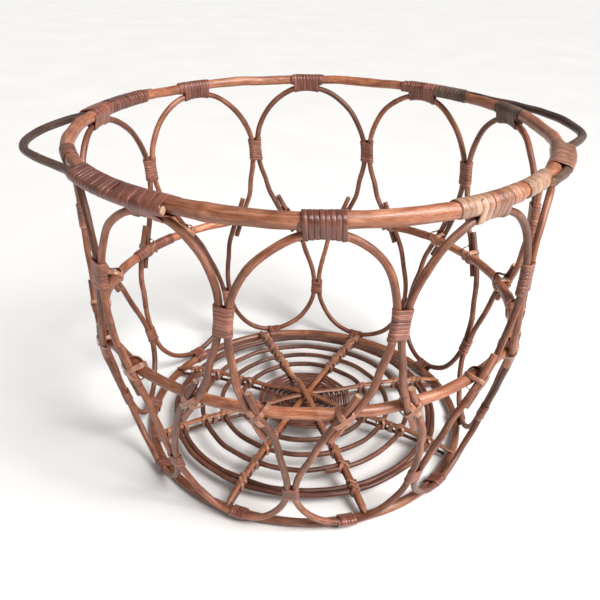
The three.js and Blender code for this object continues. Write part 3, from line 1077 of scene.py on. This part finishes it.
def slat(i):
    """Half-round split rattan laid over the floor rings from edge to edge."""
    path, level = spoke_line(i, base_r + SLAT_OVER, slat_z)
    along, total = lengths(path)
    swell, dark = joints_along(along, total, False)
    wide = SLAT_W * (1 + SLAT_SWELL * swell + SLAT_WIDTH_SHARE * ripple(along, SLAT_WIDTH_WAVE))
    tall = SLAT_T * (1 + swell)
    ends = SLAT_END + SLAT_WIDENING * smooth(np.minimum(along, total - along) / SLAT_END_LENGTH)
    x = (wide * ends)[:, None] * SLAT_SECTION[:, 0]
    y = (tall * ends)[:, None] * SLAT_SECTION[:, 1]
    rings = path[:, None, :] + level * x[..., None] + np.array([0, 0, 1.0]) * y[..., None]
    start = random.uniform(0, GRAIN_START)
    grain = np.stack([np.broadcast_to(along[:, None] + start, x.shape), x + start, y], axis=-1)
    tone = random.uniform(*SLAT_TONES) + SLAT_TONE * ripple(along, SLAT_TONE_WAVE)
    SURFACES[f"spoke_slat_{i + 1}"] = rings.reshape(-1, 3)
    piece = skin(f"spoke_slat_{i + 1}", rings, grain, tone, dark, [MATERIALS["slat"], PITH])
    place_piece(piece, "slat", f"floor_slat_{i + 1}")


def under_rod(i):
    path, level = spoke_line(i, base_r - POLE_R - UNDER_SHORT, under_z)
    rod(f"spoke_rod_{i + 1}", path, UNDER_R, "floor_rod", [f"floor_rod_{i + 1}"], sides=12, side=level,
        wander=UNDER_WANDER)


def spoke_lashings(i, half):
    """Crossed cane where an arm meets each ring."""
    azimuth = (SPOKE_TURN + 180 / SPOKES * i + 180 * half) * DEG
    along = polar(azimuth, 1.0, 0.0)
    level = polar(azimuth + math.pi / 2, 1.0, 0.0)
    up = np.array([0, 0, 1.0])
    for n, (radius, _) in enumerate(RINGS):
        centre = polar(azimuth, radius, floor_z(radius))
        ring = f"floor_ring_{n + 1}_" + ("lapped" if n + 1 == LAPPED else "rod")
        held = (f"spoke_slat_{i + 1}", f"spoke_rod_{i + 1}", ring)
        turns = (random.uniform(*SPOKE_TIE_SLANTS), -random.uniform(*SPOKE_TIE_SLANTS))
        for m, turn in enumerate(turns):
            across = level * math.cos(turn * DEG) + along * math.sin(turn * DEG)
            tone = random.uniform(*SPOKE_TIE_TONES)
            tie(f"spoke_tie_{i}_{half}_{n}_{m}", centre, across, up, held, SPOKE_TIE_W, SPOKE_TIE_T, tone,
                m * SPOKE_TIE_LAYER, SPOKE_TIE_REACH, finish="tan_cane")


# The arms, as (spoke, half), that are wound between the rings too: the two that point to the back
WOUND_ARMS = ((0, 0), (3, 1))
SPARE_TURNS = 6 * MM
ARM_CANE_W = 3.0 * MM
ARM_CANE_T = 0.4 * MM
ARM_CLEAR = 5 * MM
CORNER_R = 0.5 * MM
ARM_TONES = (0.4, 0.65)


def arm_turns(i, half):
    """Turns of cane along an arm between the rings: all the way on a wound arm, or just a few."""
    wound = (i, half) in WOUND_ARMS
    azimuth = (SPOKE_TURN + 180 / SPOKES * i + 180 * half) * DEG
    stops = [radius for radius, _ in RINGS] + [base_r - POLE_R]
    for n, (inner, outer) in enumerate(zip(stops, stops[1:])):
        middle = (inner + outer) / 2
        length = (outer - inner) - 2 * RING_R - ARM_CLEAR
        if length < ARM_CANE_W or not (wound or (n + i + half) % 3 == 0):
            continue
        if not wound:
            length = min(length, SPARE_TURNS)

        def circles(axial, middle=middle):
            radius = middle + axial
            high = slat_z(radius, i) - floor_z(radius)
            low = under_z(radius, i) - floor_z(radius)
            edge = SLAT_W / 2 - CORNER_R
            return [(-edge, high + CORNER_R, CORNER_R), (edge, high + CORNER_R, CORNER_R),
                    (0, high + SLAT_T - MM, MM), (0, low, UNDER_R)]

        def place(axial, x, y, middle=middle):
            radius = middle + axial
            return polar(azimuth, radius, floor_z(radius) + y) + polar(azimuth + math.pi / 2, x, 0.0)

        coil(f"arm_turns_{i}_{half}_{n}", place, circles, length, width=ARM_CANE_W, thick=ARM_CANE_T,
             tone=random.uniform(*ARM_TONES), finish="tan_cane")


WEAVER_R = 1.05 * MM
WEAVER_PITCH = 2.75 * MM
WOVEN_HOLE_R = 9 * MM
WOVEN_LOWER = 0.2 * MM
WEAVER_STEPS = 220
WAVE_HEIGHT = 0.55 * MM
WEAVER_TONES = (0.5, 0.9)
ARMS = 2 * SPOKES
# How far each turn pulls straight between the arms, from 0, round, to 1
STRAIGHTENED = 0.65


def woven_centre():
    """Close turns of thin cane, each waving up and down between the arms against its neighbours."""
    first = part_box("woven_centre")[0]
    height = (first[2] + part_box("woven_centre")[1][2]) / 2 - WOVEN_LOWER
    count = int((woven_r - WOVEN_HOLE_R) / WEAVER_PITCH)
    for n in range(count + 1):
        radius = woven_r - WEAVER_R - n * WEAVER_PITCH
        angle = np.linspace(0, TAU, WEAVER_STEPS, endpoint=False)
        sector = (angle - SPOKE_TURN * DEG) % (TAU / ARMS) - TAU / (2 * ARMS)
        chord = math.cos(TAU / (2 * ARMS)) / np.cos(sector)
        bent = radius * (1 - STRAIGHTENED + STRAIGHTENED * chord)
        wave = WAVE_HEIGHT * np.cos(ARMS * (angle - SPOKE_TURN * DEG) / 2 + math.pi * n)
        nodes = ["woven_centre"] if n == 0 else []
        rod(f"weaver_{n + 1}", polar(angle, bent, height + wave), WEAVER_R, "floor_rod", nodes, True,
            tone=random.uniform(*WEAVER_TONES), sides=8, wander=0.2 * MM, spacing=2 * MM)


for i in range(SPOKES):
    slat(i)
    under_rod(i)
    for half in (0, 1):
        spoke_lashings(i, half)
        arm_turns(i, half)
woven_centre()

# ---------------------------------------------------------------- floor of the studio, light, camera


STUDIO_R = 12
SKY = (1.0, 0.99, 0.98, 1)
SKY_STRENGTH = 0.3
WARM_WHITE = (1.0, 0.98, 0.95)
SUN_STRENGTH = 3.3
SUN_WIDTH = 28
SUN_TURN = (38, 12, 40)
LAMP_PLACE = (0.9, -0.5, 0.8)
LAMP_SIZE = 0.6
LAMP_POWER = 8


def studio():
    bpy.ops.mesh.primitive_circle_add(vertices=96, radius=STUDIO_R, fill_type="NGON")
    floor = bpy.context.object
    floor.name = "studio_floor"
    floor.data.materials.append(build_material("paper", pale_paper))

    world = bpy.data.worlds.new("studio_world")
    bpy.context.scene.world = world
    world.use_nodes = True
    background = world.node_tree.nodes["Background"]
    background.inputs[0].default_value = SKY
    background.inputs[1].default_value = SKY_STRENGTH


def soft_light(name, place, size, power, colour):
    data = bpy.data.lights.new(name, "AREA")
    data.shape = "DISK"
    data.size = size
    data.energy = power
    data.color = colour
    light = bpy.data.objects.new(name, data)
    bpy.context.collection.objects.link(light)
    light.location = place
    aim = Vector((0, 0, rim_z / 2)) - light.location
    light.rotation_mode = "QUATERNION"
    light.rotation_quaternion = aim.to_track_quat("-Z", "Y")


CAMERA_PLACE = (0.01898, -0.59493, 0.4676)
CAMERA_YAW = -3.84
CAMERA_PITCH = 31.88
CAMERA_ROLL = 0.41
CAMERA_LENS = 41.75
CAMERA_SHIFT = (0.0251, 0.0617)


def camera():
    data = bpy.data.cameras.new("camera")
    data.sensor_width = 36
    data.lens = CAMERA_LENS
    data.shift_x, data.shift_y = CAMERA_SHIFT
    data.clip_start = 0.01
    made = bpy.data.objects.new("camera", data)
    bpy.context.collection.objects.link(made)
    turned = (
        Matrix.Rotation(-CAMERA_YAW * DEG, 4, "Z")
        @ Matrix.Rotation((90 - CAMERA_PITCH) * DEG, 4, "X")
        @ Matrix.Rotation(CAMERA_ROLL * DEG, 4, "Z")
    )
    made.matrix_world = Matrix.Translation(CAMERA_PLACE) @ turned
    bpy.context.scene.camera = made


def soft_sun(strength):
    data = bpy.data.lights.new("key", "SUN")
    data.energy = strength
    data.angle = SUN_WIDTH * DEG
    data.color = WARM_WHITE
    light = bpy.data.objects.new("key", data)
    bpy.context.collection.objects.link(light)
    light.rotation_euler = [turn * DEG for turn in SUN_TURN]


studio()
soft_sun(SUN_STRENGTH)
soft_light("right", LAMP_PLACE, LAMP_SIZE, LAMP_POWER, WARM_WHITE)
camera()
bpy.context.scene.view_settings.view_transform = "Standard"
